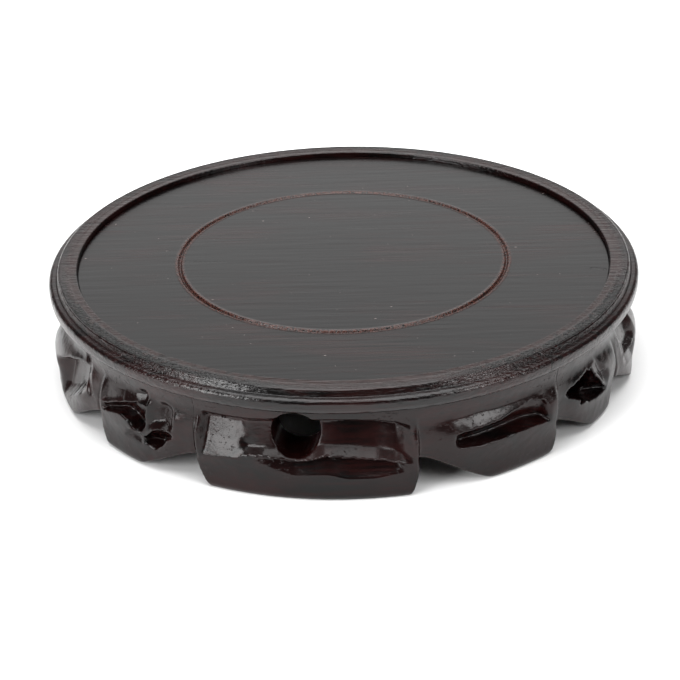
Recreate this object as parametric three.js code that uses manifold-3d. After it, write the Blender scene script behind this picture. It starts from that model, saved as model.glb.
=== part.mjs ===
// Round display stand in dark lacquered hardwood.
// A panel of three boards floats in a rim of four curved segments, and the rim
// sits on a ring of five carved segments that ends in twelve feet.
// Millimetres, +Z up, standing on z = 0. Azimuths run from the front (-Y),
// positive towards +X, in degrees.
import * as THREE from "three";
import { mergeVertices } from "three/addons/utils/BufferGeometryUtils.js";
import Module from "manifold-3d";

const wasm = await Module();
wasm.setup();

// Overall sizes
const standRadius = 110;
const panelHeight = 41;
const ringHeight = 34;

// Rim
const rimWidth = 18;
const lipWidth = 10.6;
const lipCrestRise = 2.1;
const lipEdgeRise = 1.6;
const shelfThickness = 4;
const rimJointGap = 0.3;
const rimJointAngles = [-43, 39, 143, 219];

// The moulded face of the rim from the edge of the lip over the crest, down its
// steep side to the fillet, and round the roll to the underside. Places run from
// 0 to 1 over the lip's width and the moulding's height, and a bend draws the
// run that leads to a place out into a curve.
const lipEdgeShare = 0.1;
const mouldingShares = [
  { to: [0.6, 1], bend: [0.45, 1] },
  { to: [0.735, 0.74], bend: [0.74, 1] },
  { to: [0.78, 0.72] },
  { to: [1, 0.46], bend: [0.99, 0.71] },
  { to: [0.8, 0.13], bend: [1, 0.16] },
  { to: [0.66, 0.1] },
  { to: [0.64, 0] },
];

// Panel
const panelThickness = 5;
const tongueThickness = 1.7;
const tongueReach = 2.9;
const panelGap = 0.3;
const boardWidth = 66;
const grooveInnerRadius = 60.5;
const grooveWidth = 4.1;
const grooveDepth = 0.8;
const grooveWallWidth = 0.6;

// Battens under the panel
const battenWidth = 13;
const battenDrop = 5;
const battenLetIn = 1.6;
const battenFlare = 1.1;
const battenSpacing = 80;
const battenEndGap = 2.56;

// Splines in the rim joints
const splineLength = 15;
const splineHeight = 4;
const splineThickness = 2.4;
const splineInset = 5.4;
const splineLift = 1.6;

// Foot ring
const ringOverhang = 4.6;
const ringThickness = 14.4;
const ringJointGap = 0.3;
const ringJointAngles = [-29.6, 43.8, 117, 189, 261];
const creaseDepth = 2.6;
const creaseSlopeAngle = 5;
const creaseSteepAngle = 0.7;
const footRounding = 1.2;
const footRoundingRise = 2.4;
const footSideSwell = 1.3;
const footSideAngle = 3;
const footSwell = 1.6;
const apronCove = 1;

// Where the forms of the ring's outer face lie, as shares of its height: the top
// of the swell, the middle and spread of the cove under the rim, where a foot
// begins to stand out and where it is out in full, and where a crease starts and
// stops fading above its arch
const swellTopShare = 0.8;
const coveShares = { middle: 0.8, spread: 0.12 };
const reachFadeShares = [0.35, 0.85];
const creaseFadeShares = [0.2, 0.45];

// Dowels across the ring joints and pegs between ring and rim
const dowelDiameter = 4;
const dowelLength = 20;
const dowelHeightShare = 0.76;
const pegDiameter = 4;
const pegLength = 12;
const pegInRim = 3.4;
const pegAngles = [-20, 33, 56, 105, 128, 177, 200, 249, 273, 318];
const fitGap = 0.3;

// Cutters run this far past the faces that they cut
const overrun = 2;

// Number of steps round each form
const turnedSteps = 72;
const ringSteps = 88;
const roundSteps = 8;
const hollowSteps = 10;
const curveSteps = 3;

// Places worked out from the sizes above
const rimInnerRadius = standRadius - rimWidth;
const lipRadius = standRadius - lipWidth;
const shelfHeight = ringHeight + shelfThickness;
const rimSlotRadius = lipRadius + tongueReach + panelGap;
const rimSlotTop = shelfHeight + tongueThickness + panelGap;
const crestHeight = panelHeight + lipCrestRise;
const ringRadius = standRadius - ringOverhang;
const ringInnerRadius = ringRadius - ringThickness;
const ringMiddleRadius = ringInnerRadius + ringThickness / 2;
const battenReach = battenSpacing / 2 + battenWidth / 2 + battenFlare;
const battenLength = 2 * (Math.sqrt(ringInnerRadius ** 2 - battenReach ** 2) - battenEndGap);

// Arches between the feet, each with the azimuths where its two sides reach the
// table, the azimuth of its top, its height as a share of the ring, and the side
// that runs down in a long slope. The other side is steep.
const archShares = [
  { from: -98, top: -82.8, to: -78.9, height: 0.38, slope: "from" },
  { from: -68, top: -54.5, to: -52.2, height: 0.35, slope: "from" },
  { from: -44, top: -29.6, to: -26.4, height: 0.33, slope: "from" },
  { from: 11.4, top: 13.4, to: 28.5, height: 0.4, slope: "to" },
  { from: 41.8, top: 43.8, to: 57, height: 0.33, slope: "to" },
  { from: 62.2, top: 65.4, to: 79, height: 0.32, slope: "to" },
  { from: 82.4, top: 85.4, to: 99, height: 0.42, slope: "to" },
  { from: 113, top: 117, to: 130, height: 0.42, slope: "to" },
  { from: 131, top: 150, to: 153.4, height: 0.4, slope: "from" },
  { from: 185, top: 189, to: 202, height: 0.4, slope: "to" },
  { from: 203.4, top: 218.4, to: 222.8, height: 0.35, slope: "from" },
  { from: 233, top: 249.5, to: 253, height: 0.4, slope: "from" },
];

// Powers that bend the two sides of an arch and set how they lean at its top
const archSlopePowers = [1.4, 1.35];
const archSteepPowers = [2, 1.6];

// How far each foot stands out past the apron, from the arch that it follows, as
// shares of the ring's overhang
const footReachShares = [0.82, 0.43, 0.22, 0.17, 0.26, 0.86, 0.73, 0.33, 0.22, 0.17, 0.43, 0.63];

// Hollows carved in the outer face: azimuth and height of the middle, half width
// in degrees, half height and depth as shares of the ring's height and thickness
const hollowShares = [
  { at: -76, height: 0.6, width: 5.5, tall: 0.2, deep: 0.3 },
  { at: -66, height: 0.42, width: 4.5, tall: 0.2, deep: 0.28 },
  { at: -46, height: 0.58, width: 5.6, tall: 0.15, deep: 0.36 },
  { at: -38, height: 0.4, width: 4.6, tall: 0.2, deep: 0.34 },
  { at: -22, height: 0.6, width: 6.4, tall: 0.19, deep: 0.36 },
  { at: 3.4, height: 0.64, width: 8.4, tall: 0.15, deep: 0.36 },
  { at: 0, height: 0.37, width: 10.5, tall: 0.075, deep: 0.24 },
  { at: 29.6, height: 0.61, width: 9.8, tall: 0.16, deep: 0.4 },
  { at: 77, height: 0.6, width: 5.5, tall: 0.17, deep: 0.26 },
  { at: 101, height: 0.58, width: 8, tall: 0.17, deep: 0.34 },
  { at: 139, height: 0.5, width: 5, tall: 0.2, deep: 0.3 },
  { at: 158, height: 0.6, width: 6, tall: 0.18, deep: 0.36 },
  { at: 180, height: 0.58, width: 7, tall: 0.16, deep: 0.36 },
  { at: 204, height: 0.6, width: 8, tall: 0.16, deep: 0.36 },
  { at: 232, height: 0.58, width: 9, tall: 0.17, deep: 0.36 },
  { at: 262, height: 0.58, width: 7, tall: 0.17, deep: 0.3 },
];

// How square the hollows are: 2 is a ball and more is nearer to a block
const hollowPower = 3.2;

// Round holes bored through the apron
const holeDiameter = 16.6;
const holeDrop = 9.4;
const holeAngles = [-9.7, 169];

// Three-sided holes carved through the apron, corners as shares of their size
// about the middle of the hole
const fretAngles = [53, 127];
const fretSize = 13;
const fretHeight = 18.5;
const fretCornerShares = [[-0.5, -0.36], [0.5, -0.36], [0.24, 0.5]];
const fretRounding = 1.6;

const woods = {
  rim: { color: 0x2a1512, roughness: 0.32, metalness: 0 },
  panel: { color: 0x1e110f, roughness: 0.3, metalness: 0 },
  ring: { color: 0x2c1614, roughness: 0.28, metalness: 0 },
  plain: { color: 0x7a5638, roughness: 0.7, metalness: 0 },
};

const stand = new THREE.Group();
stand.name = "round_display_stand";

function addPiece(name, geometry, wood) {
  const mesh = new THREE.Mesh(geometry, new THREE.MeshStandardMaterial(woods[wood]));
  mesh.name = name;
  stand.add(mesh);
}

function toSolid(geometry) {
  const bare = geometry.clone();
  bare.deleteAttribute("normal");
  bare.deleteAttribute("uv");
  const merged = mergeVertices(bare);
  return new wasm.Manifold(new wasm.Mesh({
    numProp: 3,
    vertProperties: new Float32Array(merged.attributes.position.array),
    triVerts: new Uint32Array(merged.index.array),
  }));
}

function toGeometry(solid) {
  const mesh = solid.getMesh();
  const geometry = new THREE.BufferGeometry();
  geometry.setAttribute("position", new THREE.BufferAttribute(mesh.vertProperties, mesh.numProp));
  geometry.setIndex(new THREE.BufferAttribute(mesh.triVerts, 1));
  geometry.computeVertexNormals();
  return geometry;
}

const radians = THREE.MathUtils.degToRad;

// Turns a form made about the front of the stand round to an azimuth
function turnTo(geometry, azimuth) {
  return geometry.rotateZ(radians(azimuth));
}

// A solid revolved about the stand's axis from a path of radius and height
function turned(path) {
  const points = path.getPoints(curveSteps);
  const first = points[0];
  const last = points[points.length - 1];
  if (first.x > 0 && first.distanceTo(last) > 0) points.push(first.clone());
  if (THREE.ShapeUtils.isClockWise(points)) points.reverse();
  const geometry = new THREE.LatheGeometry(points, turnedSteps);
  return toSolid(geometry.rotateX(Math.PI / 2));
}

// An upright wedge between two azimuths, drawn back from each by half a gap
function wedge(from, to, gap, top) {
  const reach = standRadius * 2;
  const middle = radians((from + to) / 2);
  const half = radians((to - from) / 2);
  const apex = gap / 2 / Math.sin(half);
  const outline = [new THREE.Vector2(Math.sin(middle), -Math.cos(middle)).multiplyScalar(apex)];
  for (const turn of [-half, 0, half]) {
    const edge = new THREE.Vector2(Math.sin(middle + turn), -Math.cos(middle + turn));
    outline.push(edge.multiplyScalar(reach).add(outline[0]));
  }
  const shape = new THREE.Shape(outline);
  const geometry = new THREE.ExtrudeGeometry(shape, { depth: top + overrun * 2, bevelEnabled: false });
  return toSolid(geometry.translate(0, 0, -overrun));
}

function boxAt(width, depth, height, x, y, z) {
  return new THREE.BoxGeometry(width, depth, height).translate(x, y, z);
}

// Rim

// The section of the rim: shelf, slot for the panel's tongue, hollow lip edge,
// crest, fillet and the roll below it
function rimSection() {
  const mouldingHeight = crestHeight - ringHeight;
  const place = ([out, up]) => [lipRadius + out * lipWidth, ringHeight + up * mouldingHeight];
  const lipEdge = lipRadius + lipEdgeShare * lipWidth;
  const lipEdgeHeight = panelHeight + lipEdgeRise;
  const path = new THREE.Path();
  path.moveTo(rimInnerRadius, ringHeight);
  path.lineTo(rimInnerRadius, shelfHeight);
  path.lineTo(rimSlotRadius, shelfHeight);
  path.lineTo(rimSlotRadius, rimSlotTop);
  path.lineTo(lipRadius, rimSlotTop);
  path.lineTo(lipRadius, panelHeight);
  path.quadraticCurveTo(lipRadius, lipEdgeHeight, lipEdge, lipEdgeHeight);
  for (const { to, bend } of mouldingShares) {
    if (bend) path.quadraticCurveTo(...place(bend), ...place(to));
    else path.lineTo(...place(to));
  }
  path.lineTo(rimInnerRadius, ringHeight);
  return path;
}

// A loose tongue lies across each joint, upright in the thick of the rim
function rimSpline(azimuth, gap) {
  const middle = ringHeight + splineLift + splineHeight / 2;
  const radius = standRadius - splineInset;
  const tongue = boxAt(splineLength + gap * 2, splineThickness + gap * 2, splineHeight + gap * 2,
    0, -radius, middle);
  return turnTo(tongue, azimuth);
}

function buildRim() {
  const whole = turned(rimSection());
  rimJointAngles.forEach((from, index) => {
    const last = index === rimJointAngles.length - 1;
    const to = last ? rimJointAngles[0] + 360 : rimJointAngles[index + 1];
    let segment = whole.intersect(wedge(from, to, rimJointGap, crestHeight));
    for (const joint of [from, to]) segment = segment.subtract(toSolid(rimSpline(joint, fitGap)));
    for (const peg of pegAngles) segment = segment.subtract(toSolid(pegAt(peg, fitGap)));
    addPiece(`rim_segment_${index + 1}`, toGeometry(segment), "rim");
    addPiece(`rim_spline_${index + 1}`, rimSpline(from, 0), "plain");
  });
}

// Panel

// The section of the panel, from the axis along the underside to the tongue and
// back over the face with its turned groove, steep inside and shallow outside
function panelSection() {
  const panelRadius = lipRadius - panelGap;
  const fieldRadius = rimInnerRadius - panelGap;
  const tongueRadius = panelRadius + tongueReach + panelGap;
  const underside = panelHeight - panelThickness;
  const path = new THREE.Path();
  path.moveTo(0, underside);
  path.lineTo(fieldRadius, underside);
  path.lineTo(fieldRadius, shelfHeight);
  path.lineTo(tongueRadius, shelfHeight);
  path.lineTo(tongueRadius, shelfHeight + tongueThickness);
  path.lineTo(panelRadius, shelfHeight + tongueThickness);
  path.lineTo(panelRadius, panelHeight);
  path.lineTo(grooveInnerRadius + grooveWidth, panelHeight);
  path.quadraticCurveTo(grooveInnerRadius + grooveWallWidth * 2, panelHeight - grooveDepth,
    grooveInnerRadius + grooveWallWidth, panelHeight - grooveDepth);
  path.lineTo(grooveInnerRadius, panelHeight);
  path.lineTo(0, panelHeight);
  return path;
}

// A sliding dovetail batten, let into the underside of all three boards
function batten(x, gap, length) {
  const underside = panelHeight - panelThickness;
  const half = battenWidth / 2 + gap;
  const outline = [
    [-half, -battenDrop], [half, -battenDrop], [half, 0],
    [half + battenFlare, battenLetIn + gap], [-half - battenFlare, battenLetIn + gap], [-half, 0],
  ].map(([across, up]) => new THREE.Vector2(across, up));
  const geometry = new THREE.ExtrudeGeometry(new THREE.Shape(outline),
    { depth: length, bevelEnabled: false });
  return geometry.rotateX(Math.PI / 2).translate(x, length / 2, underside);
}

function buildPanel() {
  const whole = turned(panelSection());
  const battenPlaces = [-battenSpacing / 2, battenSpacing / 2];
  const boards = { front: -boardWidth, middle: 0, back: boardWidth };
  for (const [name, y] of Object.entries(boards)) {
    const width = y === 0 ? boardWidth : boardWidth * 2;
    const middle = y + Math.sign(y) * boardWidth / 2;
    const slab = boxAt(standRadius * 2, width, panelHeight, 0, middle, panelHeight - panelThickness / 2);
    let board = whole.intersect(toSolid(slab));
    for (const x of battenPlaces) {
      board = board.subtract(toSolid(batten(x, fitGap, battenLength + fitGap * 2)));
    }
    addPiece(`panel_board_${name}`, toGeometry(board), "panel");
  }
  battenPlaces.forEach((x, index) => {
    addPiece(`panel_batten_${index + 1}`, batten(x, 0, battenLength), "plain");
  });
}

// Foot ring

// Degrees from one azimuth to another, between -180 and 180
function turnFrom(azimuth, middle) {
  return THREE.MathUtils.euclideanModulo(azimuth - middle + 180, 360) - 180;
}

// Height of the ring's lower edge at an azimuth: zero on a foot, and up over
// the top of an arch, steep on one side and in a long slope on the other
function archHeight(azimuth) {
  let height = 0;
  for (const arch of archShares) {
    const turn = turnFrom(azimuth, arch.top);
    const side = turn < 0 ? "from" : "to";
    const share = Math.abs(turn) / Math.abs(arch[side] - arch.top);
    if (share >= 1) continue;
    const [bend, lean] = side === arch.slope ? archSlopePowers : archSteepPowers;
    height = Math.max(height, arch.height * (1 - share ** bend) ** lean);
  }
  return height * ringHeight;
}

// Which foot an azimuth lies on, by the arch before it
function footReach(azimuth) {
  const turn = THREE.MathUtils.euclideanModulo(azimuth - archShares[0].top, 360) + archShares[0].top;
  let foot = archShares.length - 1;
  while (archShares[foot].top > turn) foot -= 1;
  return footReachShares[foot] * ringOverhang;
}

// Degrees from an azimuth to an arch's top, positive on its slope's side
function alongSlope(azimuth, arch) {
  return turnFrom(azimuth, arch.top) * (arch.slope === "to" ? 1 : -1);
}

// Degrees by which the steep side of a foot swells out under the arch beside it
function sideTurn(azimuth, height) {
  let turn = 0;
  for (const arch of archShares) {
    const inside = -alongSlope(azimuth, arch);
    const rise = height / (arch.height * ringHeight);
    if (inside < 0 || rise > 1) continue;
    const near = Math.exp(-((inside / footSideAngle) ** 2)) * Math.sin(Math.PI * rise);
    const way = arch.slope === "to" ? 1 : -1;
    turn += way * near * THREE.MathUtils.radToDeg(footSideSwell / ringRadius);
  }
  return turn;
}

// Radius of the carved outer face: a cove under the rim, a swell down to the
// feet, creases that climb from the arches, and feet that stand out further
function outerRadius(azimuth, height) {
  const share = height / ringHeight;
  const swell = footSwell * Math.sin(Math.PI * Math.min(1, (1 - share) / swellTopShare)) ** 2;
  const cove = apronCove * Math.exp(-(((share - coveShares.middle) / coveShares.spread) ** 2));
  const low = THREE.MathUtils.smoothstep(share, ...reachFadeShares);
  let crease = 0;
  for (const arch of archShares) {
    const turn = alongSlope(azimuth, arch);
    const spread = turn > 0 ? creaseSlopeAngle : creaseSteepAngle;
    const [start, stop] = creaseFadeShares;
    const fade = 1 - THREE.MathUtils.smoothstep(share, arch.height + start, arch.height + stop);
    crease = Math.max(crease, creaseDepth * fade * Math.exp(-((turn / spread) ** 2)));
  }
  const tuck = footRounding * Math.max(0, 1 - height / footRoundingRise) ** 2;
  return ringRadius + swell - cove - crease - tuck + footReach(azimuth) * (1 - low);
}

// The whole ring before it is cut: one section of radius and height for each
// step round, and each section closed on itself
function ringBody() {
  const rowShares = [1, 0.9, 0.8, 0.68, 0.54, 0.4, 0.26, 0.14, 0.05, 0];
  const archEdgeShares = [0, 0.08, 0.3];
  const steps = new Set();
  for (let index = 0; index < ringSteps; index += 1) steps.add((index * 360) / ringSteps - 180);
  for (const arch of archShares) {
    for (const edge of [arch.from, arch.to]) {
      for (const share of archEdgeShares) {
        const place = edge + (arch.top - edge) * share;
        steps.add(THREE.MathUtils.euclideanModulo(place + 180, 360) - 180);
      }
    }
  }
  const azimuths = [...steps].sort((first, second) => first - second);
  const positions = [];
  const faces = [];
  const count = rowShares.length + 2;
  azimuths.forEach((azimuth, station) => {
    const bottom = archHeight(azimuth);
    const section = rowShares.map((share) => {
      const height = bottom + share * (ringHeight - bottom);
      return [outerRadius(azimuth, height), height];
    });
    section.push([ringInnerRadius, bottom], [ringInnerRadius, ringHeight]);
    for (const [radius, height] of section) {
      const turn = radians(azimuth + sideTurn(azimuth, height));
      positions.push(radius * Math.sin(turn), -radius * Math.cos(turn), height);
    }
    const next = (station + 1) % azimuths.length;
    for (let row = 0; row < count; row += 1) {
      const below = (row + 1) % count;
      const corners = [station, next].flatMap((at) => [at * count + row, at * count + below]);
      faces.push(corners[0], corners[1], corners[2], corners[2], corners[1], corners[3]);
    }
  });
  const geometry = new THREE.BufferGeometry();
  geometry.setAttribute("position", new THREE.Float32BufferAttribute(positions, 3));
  geometry.setIndex(faces);
  return toSolid(geometry);
}

// A carved hollow is the dent of a form between a ball and a block, sunk in the
// outer face
function hollow({ at, height, width, tall, deep }) {
  const middle = height * ringHeight;
  const radius = outerRadius(at, middle);
  const bulb = new THREE.SphereGeometry(1, hollowSteps, hollowSteps - 2);
  const places = bulb.attributes.position;
  const place = new THREE.Vector3();
  for (let index = 0; index < places.count; index += 1) {
    place.fromBufferAttribute(places, index);
    let sum = 0;
    for (const side of place.toArray()) sum += Math.abs(side) ** hollowPower;
    place.multiplyScalar(sum ** (-1 / hollowPower));
    places.setXYZ(index, ...place);
  }
  bulb.scale(radius * Math.sin(radians(width)), deep * ringThickness, tall * ringHeight);
  return toSolid(turnTo(bulb.translate(0, -radius, middle), at));
}

// A hole through the apron, drawn in a plane that faces outwards
function throughHole(shape, azimuth, height) {
  const depth = ringThickness + ringOverhang + overrun * 2;
  const options = { depth, bevelEnabled: false, curveSegments: curveSteps };
  const geometry = new THREE.ExtrudeGeometry(shape, options);
  geometry.rotateX(Math.PI / 2).translate(0, -ringInnerRadius + overrun, height);
  return toSolid(turnTo(geometry, azimuth));
}

function roundHole() {
  const shape = new THREE.Shape();
  const points = [];
  for (let step = 0; step < hollowSteps * 2; step += 1) {
    const turn = (step / hollowSteps) * Math.PI;
    points.push(new THREE.Vector2(Math.cos(turn), Math.sin(turn)).multiplyScalar(holeDiameter / 2));
  }
  return shape.setFromPoints(points);
}

// A three-sided opening with rounded corners
function fretHole() {
  const corners = fretCornerShares.map((share) => new THREE.Vector2(...share).multiplyScalar(fretSize));
  const shape = new THREE.Shape();
  corners.forEach((corner, index) => {
    const before = corners[(index + corners.length - 1) % corners.length];
    const after = corners[(index + 1) % corners.length];
    const start = corner.clone().add(before.clone().sub(corner).setLength(fretRounding));
    const end = corner.clone().add(after.clone().sub(corner).setLength(fretRounding));
    if (index === 0) shape.moveTo(start.x, start.y);
    else shape.lineTo(start.x, start.y);
    shape.quadraticCurveTo(corner.x, corner.y, end.x, end.y);
  });
  shape.closePath();
  return shape;
}

// A round dowel lies along the ring across each joint
function dowelAt(azimuth, gap) {
  const rod = new THREE.CylinderGeometry(dowelDiameter / 2 + gap, dowelDiameter / 2 + gap,
    dowelLength + gap * 2, roundSteps);
  rod.rotateZ(Math.PI / 2).translate(0, -ringMiddleRadius, ringHeight * dowelHeightShare);
  return turnTo(rod, azimuth);
}

// A peg stands in the ring and reaches up into the rim's shelf
function pegAt(azimuth, gap) {
  const length = pegLength + gap * 2;
  const rod = new THREE.CylinderGeometry(pegDiameter / 2 + gap, pegDiameter / 2 + gap, length, roundSteps);
  rod.rotateX(Math.PI / 2).translate(0, -ringMiddleRadius, ringHeight + pegInRim - pegLength / 2);
  return turnTo(rod, azimuth);
}

function buildRing() {
  let whole = ringBody();
  const cutters = [
    ...hollowShares.map((share) => hollow(share)),
    ...holeAngles.map((azimuth) => throughHole(roundHole(), azimuth, ringHeight - holeDrop)),
    ...fretAngles.map((azimuth) => throughHole(fretHole(), azimuth, fretHeight)),
    ...pegAngles.map((azimuth) => toSolid(pegAt(azimuth, fitGap))),
    ...ringJointAngles.map((azimuth) => toSolid(dowelAt(azimuth, fitGap))),
  ];
  for (const cutter of cutters) whole = whole.subtract(cutter);
  ringJointAngles.forEach((from, index) => {
    const last = index === ringJointAngles.length - 1;
    const to = last ? ringJointAngles[0] + 360 : ringJointAngles[index + 1];
    const segment = whole.intersect(wedge(from, to, ringJointGap, ringHeight));
    addPiece(`foot_ring_segment_${index + 1}`, toGeometry(segment), "ring");
    addPiece(`ring_dowel_${index + 1}`, dowelAt(from, 0), "plain");
  });
  pegAngles.forEach((azimuth, index) => {
    addPiece(`ring_peg_${index + 1}`, pegAt(azimuth, 0), "plain");
  });
}

buildRim();
buildPanel();
buildRing();

export default stand;
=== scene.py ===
"""Round display stand in dark lacquered hardwood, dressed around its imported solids.

A panel of three boards lies in a moulded rim of four segments, on a ring of
five hand-carved segments that ends in twelve feet. Lengths in the tables are
millimetres and azimuths are degrees from the front, positive towards +X.
"""
import math

import bmesh
import bpy
import numpy as np
from mathutils import Matrix, Vector, noise


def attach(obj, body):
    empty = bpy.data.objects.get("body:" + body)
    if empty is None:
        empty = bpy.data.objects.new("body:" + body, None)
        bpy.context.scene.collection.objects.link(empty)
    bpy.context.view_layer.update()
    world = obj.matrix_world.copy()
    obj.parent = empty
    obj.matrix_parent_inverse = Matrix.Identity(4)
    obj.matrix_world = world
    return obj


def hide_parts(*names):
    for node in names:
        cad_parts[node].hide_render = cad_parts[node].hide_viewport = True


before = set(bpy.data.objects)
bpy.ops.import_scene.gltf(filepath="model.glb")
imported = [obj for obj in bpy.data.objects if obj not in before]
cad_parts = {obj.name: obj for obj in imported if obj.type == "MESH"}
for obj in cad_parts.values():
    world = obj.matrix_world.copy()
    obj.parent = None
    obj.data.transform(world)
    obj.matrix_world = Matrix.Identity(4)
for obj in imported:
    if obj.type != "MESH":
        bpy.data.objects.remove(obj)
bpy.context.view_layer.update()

bl_info = {
    "name": "Round display stand",
    "version": (1, 0, 0),
    "blender": (4, 5, 0),
    "location": "View3D > Sidebar > Stand",
    "description": "Adds the rim, panel, carved foot ring and stage of a round display stand",
    "category": "Object",
}

MM = 0.001
MERGE_BELOW = 0.002 * MM

# Rim: where its segments meet, and its section as radius, height and rounding
RIM_JOINTS = (-43.0, 39.0, 143.0, 219.0)
RIM_GAP = 0.08
RIM_SECTION = (
    (92.0, 34.0, 0.3), (92.0, 38.0, 0), (102.6, 38.0, 0), (102.6, 40.0, 0),
    (99.4, 40.0, 0), (99.4, 42.95, 0.5), (102.8, 42.75, 2.4),
    (106.35, 43.1, 0.75), (107.15, 40.6, 0.22), (110.0, 40.6, 1.7), (110.0, 35.1, 2.3),
    (106.9, 34.9, 0.3), (106.6, 34.0, 0.2),
)
RIM_RADIUS = 105.0
RIM_SHARP = 35

# Panel: section from its axis to its edge and back over the face, as radius,
# height and rounding
PANEL_SECTION = (
    (0.0, 36.0, 0), (91.7, 36.0, 0), (91.7, 38.0, 0), (102.3, 38.0, 0),
    (102.3, 39.7, 0), (99.1, 39.7, 0), (99.1, 41.0, 0.25), (98.6, 41.0, 0),
    (62.6, 41.0, 0), (62.1, 41.0, 0.2), (61.35, 40.2, 0.25), (60.95, 40.2, 0.2),
    (60.5, 41.0, 0.2), (60.0, 41.0, 0), (0.0, 41.0, 0),
)
PANEL_SHARP = 32
# Boards: the places in Y where each is cut off and the side that is cleared
BOARDS = (("front", ((-33.0, 1),)), ("middle", ((-33.0, -1), (33.0, 1))), ("back", ((33.0, -1),)))
# Dovetail housings for the battens, from the underside of the boards upwards
BATTEN = {"at": (-40.0, 40.0), "half": 6.8, "flare": 1.1, "let_in": 1.9,
          "length": 150.6, "under": 36.0, "below": -1}

# Foot ring: joints, the gap at each, and how much longer than that a segment is
# made before it is trimmed
RING_JOINTS = (-29.6, 43.8, 117.0, 189.0, 261.0)
RING_GAP = 0.1
RING_SPARE = 2.0
RING_STEP = 0.2
RING_HALF_TURN = 36
RING_ROWS = {"outer": 90, "inner": 30}
RING_TOP = 34.0
RING_INNER = 91.0
RING_OUTER = 105.4
# Arches: azimuths where each side meets the table and of the top, height, and
# which side is the long slope
ARCHES = (
    (-98, -82.8, -78.9, 12.9, 0), (-68, -54.5, -52.2, 12.0, 0), (-44, -29.6, -26.4, 11.2, 0),
    (11.4, 13.4, 28.5, 13.6, 1), (41.8, 43.8, 57, 11.2, 1), (62.2, 65.4, 79, 10.8, 1),
    (82.4, 85.4, 99, 14.2, 1), (113, 117, 130, 14.3, 1), (131, 150, 153.4, 13.6, 0),
    (185, 189, 202, 13.6, 1), (203.4, 218.4, 222.8, 11.8, 0), (233, 249.5, 253, 13.6, 0),
)
# Powers that bend an arch's long slope and its steep side
SLOPE_CURVE, STEEP_CURVE = (1.4, 1.35), (2.0, 1.6)
# How far the foot that follows each arch stands out, and the degrees over which
# one foot passes to the next
FOOT_REACH = (3.8, 2.0, 1.0, 0.8, 1.2, 3.9, 3.4, 1.5, 1.0, 0.8, 2.0, 2.9)
FOOT_EASE = 0.8

# Outer face of the ring, where shares are of its height: a swell, a cove under
# the rim, where the feet fade into the apron, a crease over each arch and a
# rounded lower edge
SWELL, SWELL_TOP = 1.6, 0.8
COVE = {"depth": 1.7, "middle": 0.8, "spread": 0.12}
REACH_FADE = (0.35, 0.85)
CREASE = {"depth": 2.6, "slope": 5.0, "steep": 0.6, "fade": (0.2, 0.5)}
TUCK, TUCK_RISE = 1.2, 2.4
# Degrees by which a foot's steep side swells out, and over which that fades
SIDE_SWELL, SIDE_ANGLE = 0.7, 3.0
# Unevenness left by the tools: how fine, and how deep
WAVES = ((110, 0.14), (420, 0.05))

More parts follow.
